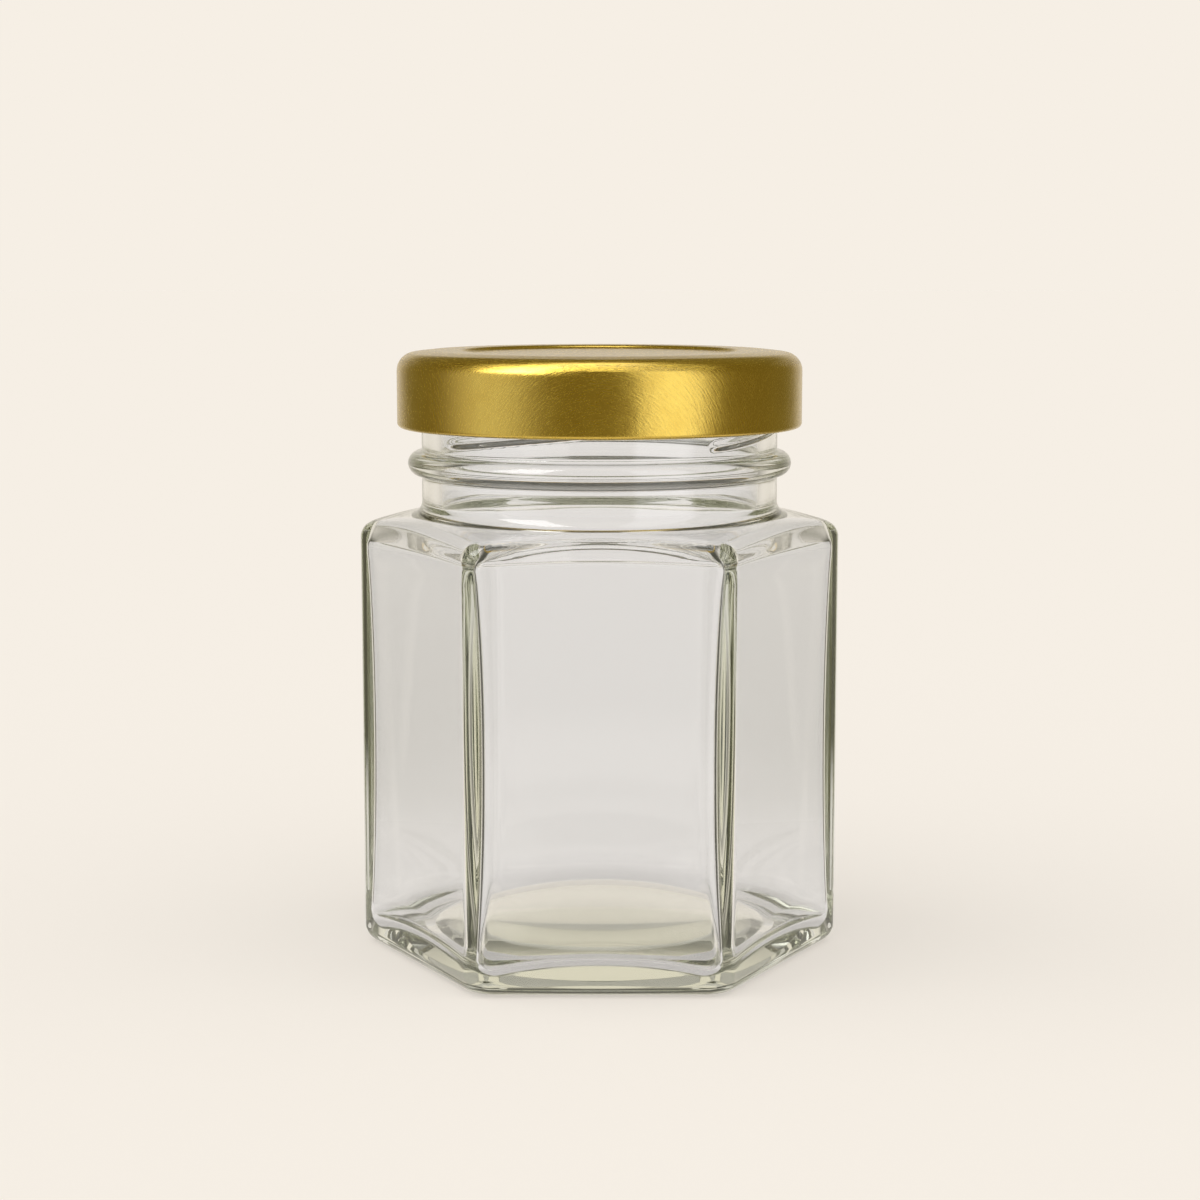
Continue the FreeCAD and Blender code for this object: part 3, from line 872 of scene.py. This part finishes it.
# Softboxes that only reflections show: name, azimuth from the front (right is positive), from and to,
# softness of the edge, elevation from and to, and radiance outside and inside the glass.
SOFTBOXES = [
    ("low left", -88, -42, 34, -40, 26, 0.72, 0.36),
    ("right", 23, 62, 6, -40, 78, 1.35, 0.85),
    ("left", -72, -36, 6, 26, 80, 6.0, 1.6),
    ("top", -180, 180, 6, 74, 91, 2.3, 1.0),
]


class JAR_OT_studio(bpy.types.Operator):
    """Makes the floor, the backdrop, the lights and the camera."""

    bl_idname = "jar.studio"
    bl_label = "Studio"

    def execute(self, context):
        studio = context.scene.jar_settings.studio
        self.camera(context)
        self.floor(studio)
        self.world(context, studio)
        self.lamps(studio)
        context.scene.view_settings.view_transform = "Standard"
        paths = context.scene.cycles
        paths.max_bounces = 40
        paths.glossy_bounces = 32
        paths.transmission_bounces = 24
        return {"FINISHED"}

    def camera(self, context):
        """The camera in front of the jar, tilted down a little."""
        data = bpy.data.cameras.new("camera")
        data.lens = CAMERA_LENS
        data.sensor_width = SENSOR_WIDTH
        data.clip_start = 0.01
        data.clip_end = 20.0
        camera = bpy.data.objects.new("camera", data)
        camera.location = (CAMERA_ASIDE, -CAMERA_DISTANCE, CAMERA_HEIGHT)
        camera.rotation_euler = (math.pi / 2 - CAMERA_TILT, 0, 0)
        context.scene.collection.objects.link(camera)
        context.scene.camera = camera

    def floor(self, studio):
        """A wide floor. Mirror-like rays see it only round the jar, and beyond that the room."""
        mesh = bpy.data.meshes.new("floor")
        low = JAR_LOW.z - FLOOR_DROP
        corners = [(side * FLOOR_REACH, end * FLOOR_REACH, low)
                   for side, end in ((-1, -1), (1, -1), (1, 1), (-1, 1))]
        mesh.from_pydata(corners, [], [(0, 1, 2, 3)])
        material, tree, shader = new_material("floor")
        shader.inputs["Roughness"].default_value = 1.0
        shader.inputs["Specular IOR Level"].default_value = 0.0
        make = Nodes(tree)
        place = make.new("ShaderNodeTexCoord").outputs["Object"]
        away = make.new("ShaderNodeVectorMath", {0: place}, operation="LENGTH").outputs["Value"]
        far = make.smooth(away, *MIRRORED_FLOOR)
        path = make.new("ShaderNodeLightPath")
        mirrored = make.math("MINIMUM", path.outputs["Glossy Depth"], 1.0)
        through = make.math("MINIMUM", path.outputs["Transmission Depth"], 1.0)
        tone = make.blend(through, (*studio.backdrop, 1), (*studio.beyond, 1))
        tree.links.new(tone, shader.inputs["Base Color"])
        clear = make.new("ShaderNodeBsdfTransparent").outputs[0]
        even = make.new("ShaderNodeEmission", {0: tone}).outputs[0]
        filled = make.math("MULTIPLY_ADD", through, studio.fill_beyond - studio.fill, studio.fill)
        seen = make.new("ShaderNodeMixShader", {0: filled, 1: shader.outputs[0], 2: even}).outputs[0]
        mixed = make.new("ShaderNodeMixShader", {0: make.math("MULTIPLY", far, mirrored), 1: seen, 2: clear})
        tree.links.new(mixed.outputs[0], tree.nodes["Material Output"].inputs["Surface"])
        mesh.materials.append(material)
        link("floor", mesh)

    def world(self, context, studio):
        """A plain backdrop seen directly, an even dome for the floor, and a room for reflections."""
        world = bpy.data.worlds.new("studio")
        world.use_nodes = True
        world.cycles.sampling_method = "NONE"
        context.scene.world = world
        tree = world.node_tree
        make = Nodes(tree)
        path = make.new("ShaderNodeLightPath")
        way = make.new("ShaderNodeTexCoord").outputs["Generated"]
        split = make.new("ShaderNodeSeparateXYZ", {0: way})
        across, along, up = (split.outputs[axis] for axis in "XYZ")
        azimuth = make.math("ARCTAN2", across, make.math("MULTIPLY", along, -1.0))
        elevation = make.math("ARCSINE", up)
        through = make.math("MINIMUM", path.outputs["Transmission Depth"], 1.0)
        light = make.blend(through, (*studio.room, 1), (*studio.inner_room, 1))
        outside = make.math("MULTIPLY", make.smooth(along, *AWAY_OUTSIDE),
                            make.smooth(elevation, *RISE_OUTSIDE, 0, BACKDROP_OUTSIDE))
        inside = make.math("MULTIPLY", make.smooth(along, *AWAY_INSIDE), make.smooth(elevation, *RISE_INSIDE))
        light = make.blend(make.blend(through, outside, inside), light, (*studio.backdrop, 1))
        for name, *angles, bare, in_glass in SOFTBOXES:
            left, right, edge, low, high = (math.radians(angle) for angle in angles)
            over = make.math("MULTIPLY", make.window(azimuth, left, right, edge),
                             make.window(elevation, low, high, edge))
            bright = make.math("MULTIPLY_ADD", through, in_glass - bare, bare)
            light = make.blend(over, light, bright)
        mirrored = make.math("MINIMUM", path.outputs["Glossy Depth"], 1.0)
        plain = make.blend(through, (*studio.backdrop, 1), (*studio.beyond, 1))
        seen = make.blend(mirrored, plain, light)
        sky = make.math("MULTIPLY_ADD", along, -studio.frontal, 1.0 - studio.left_share - studio.right_share)
        spread = make.math("MINIMUM", path.outputs["Diffuse Depth"], 1.0)
        whole = make.blend(spread, seen, sky)
        tree.links.new(whole, tree.nodes["Background"].inputs["Color"])

    def lamps(self, studio):
        """Two wide lights, the stronger one from the left."""
        lamps = (("left_light", -1, studio.left_share), ("right_light", 1, studio.right_share))
        for name, side, share in lamps:
            data = bpy.data.lights.new(name, "SUN")
            data.angle = LAMP_SPREAD
            data.energy = share * math.pi / math.sin(LIGHT_RISE)
            lamp = bpy.data.objects.new(name, data)
            travel = Vector((-side * math.cos(LIGHT_RISE), LAMP_FORWARD, -math.sin(LIGHT_RISE)))
            lamp.rotation_euler = travel.to_track_quat("-Z", "Y").to_euler()
            lamp.visible_glossy = False
            lamp.visible_transmission = False
            bpy.context.scene.collection.objects.link(lamp)


class JAR_PT_panel(bpy.types.Panel):
    """Lists the jar's pieces."""

    bl_label = "Preserving Jar"
    bl_idname = "JAR_PT_panel"
    bl_space_type = "VIEW_3D"
    bl_region_type = "UI"
    bl_category = "Jar"

    def draw(self, context):
        for piece in PIECES:
            self.layout.operator(piece.bl_idname)


class JarSettings(bpy.types.PropertyGroup):
    """All settings."""

    glass: PointerProperty(type=JarSizes)
    thread: PointerProperty(type=ThreadSizes)
    lid: PointerProperty(type=LidSizes)
    finish: PointerProperty(type=JarFinish)
    studio: PointerProperty(type=StudioSettings)


PIECES = (JAR_OT_studio, JAR_OT_glass, JAR_OT_lid)
CLASSES = (JarSizes, ThreadSizes, LidSizes, JarFinish, StudioSettings, JarSettings, *PIECES, JAR_PT_panel)


def register():
    for item in CLASSES:
        bpy.utils.register_class(item)
    bpy.types.Scene.jar_settings = PointerProperty(type=JarSettings)


def unregister():
    del bpy.types.Scene.jar_settings
    for item in reversed(CLASSES):
        bpy.utils.unregister_class(item)


def main():
    register()
    bpy.ops.jar.studio()
    bpy.ops.jar.glass()
    bpy.ops.jar.lid()


if __name__ == "__main__":
    main()
